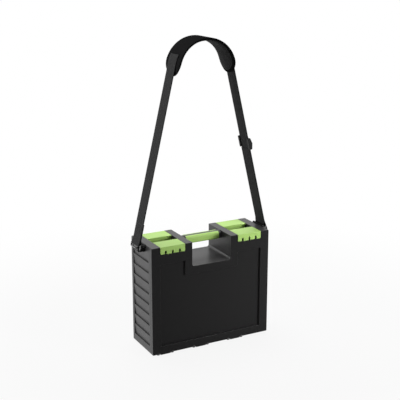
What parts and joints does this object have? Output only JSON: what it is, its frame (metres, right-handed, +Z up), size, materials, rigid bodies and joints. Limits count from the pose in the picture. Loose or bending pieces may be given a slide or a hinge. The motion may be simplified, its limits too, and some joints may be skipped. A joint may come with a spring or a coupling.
{
  "type": "board game storage box",
  "caption": "Hard storage case with two hinged covers, flip latches, a carrying handle in a hand notch, and a padded shoulder strap on swivelling side lugs.",
  "frame": {"origin": "under the middle of the case, on the surface that the hinge knuckles stand on", "axes": "+X to the case's right side, -Y out of its front cover, +Z up"},
  "size_m": [0.338, 0.109, 0.7066],
  "materials": {
    "case_plastic": "dark grey moulded plastic with a fine satin texture",
    "cover_plastic": "dark grey moulded plastic with a fine satin texture",
    "divider_plastic": "smooth dark plastic sheet",
    "latch_green": "lime green moulded plastic, satin",
    "grip_green": "lime green moulded plastic, satin",
    "handle_black": "black moulded plastic",
    "pin_steel": "ground steel pins",
    "screw_steel": "zinc plated steel screws",
    "anchor_black": "black acetal, slightly glossy",
    "ring_black": "black coated wire",
    "webbing_black": "woven black polypropylene webbing",
    "pad_shell": "matt black moulded foam rubber",
    "pad_lining": "dark grey textured anti-slip lining"
  },
  "bodies": {
    "case": {"case_frame": "case_plastic", "centre_divider": "divider_plastic", "front_hinge_pins": "pin_steel", "back_hinge_pins": "pin_steel", "latch_pins_front": "pin_steel", "latch_pins_back": "pin_steel", "handle_core": "handle_black", "handle_grip_front": "grip_green", "handle_grip_back": "grip_green", "handle_screws": "screw_steel", "strap_studs": "screw_steel", "strap_nuts": "screw_steel"},
    "front_cover": {"front_cover": "cover_plastic"},
    "back_cover": {"back_cover": "cover_plastic"},
    "latch_front_left": {"latch_front_left": "latch_green"},
    "latch_front_right": {"latch_front_right": "latch_green"},
    "latch_back_left": {"latch_back_left": "latch_green"},
    "latch_back_right": {"latch_back_right": "latch_green"},
    "strap": {"strap_lug_left": "anchor_black", "strap_lug_right": "anchor_black", "strap_ring_left": "ring_black", "strap_ring_right": "ring_black", "webbing_left": "webbing_black", "webbing_right": "webbing_black", "shoulder_pad": "pad_shell", "pad_lining": "pad_lining"},
    "slider": {"slider_frame": "anchor_black", "slider_turn": "webbing_black"}
  },
  "joints": [
    {"name": "front_cover_hinge", "type": "hinge", "parent": "case", "child": "front_cover", "pos_m": [0, -0.0516, 0.0029], "axis": [1, 0, 0], "range_deg": [0, 90]},
    {"name": "back_cover_hinge", "type": "hinge", "parent": "case", "child": "back_cover", "pos_m": [0, 0.0516, 0.0029], "axis": [-1, 0, 0], "range_deg": [0, 90]},
    {"name": "strap_swing", "type": "hinge", "parent": "case", "child": "strap", "pos_m": [0, 0, 0.2489], "axis": [1, 0, 0], "range_deg": [-60, 60]},
    {"name": "slider_travel", "type": "slide", "parent": "strap", "child": "slider", "axis": [-0.2294, 0, 0.9733], "range_m": [-0.08, 0.14]},
    {"name": "latch_front_left_hinge", "type": "hinge", "parent": "case", "child": "latch_front_left", "pos_m": [-0.0985, -0.0205, 0.2504], "axis": [-1, 0, 0], "range_deg": [0, 95]},
    {"name": "latch_front_right_hinge", "type": "hinge", "parent": "case", "child": "latch_front_right", "pos_m": [0.0985, -0.0205, 0.2504], "axis": [-1, 0, 0], "range_deg": [0, 95]},
    {"name": "latch_back_left_hinge", "type": "hinge", "parent": "case", "child": "latch_back_left", "pos_m": [-0.0985, 0.0205, 0.2504], "axis": [1, 0, 0], "range_deg": [0, 95]},
    {"name": "latch_back_right_hinge", "type": "hinge", "parent": "case", "child": "latch_back_right", "pos_m": [0.0985, 0.0205, 0.2504], "axis": [1, 0, 0], "range_deg": [0, 95]}
  ]
}
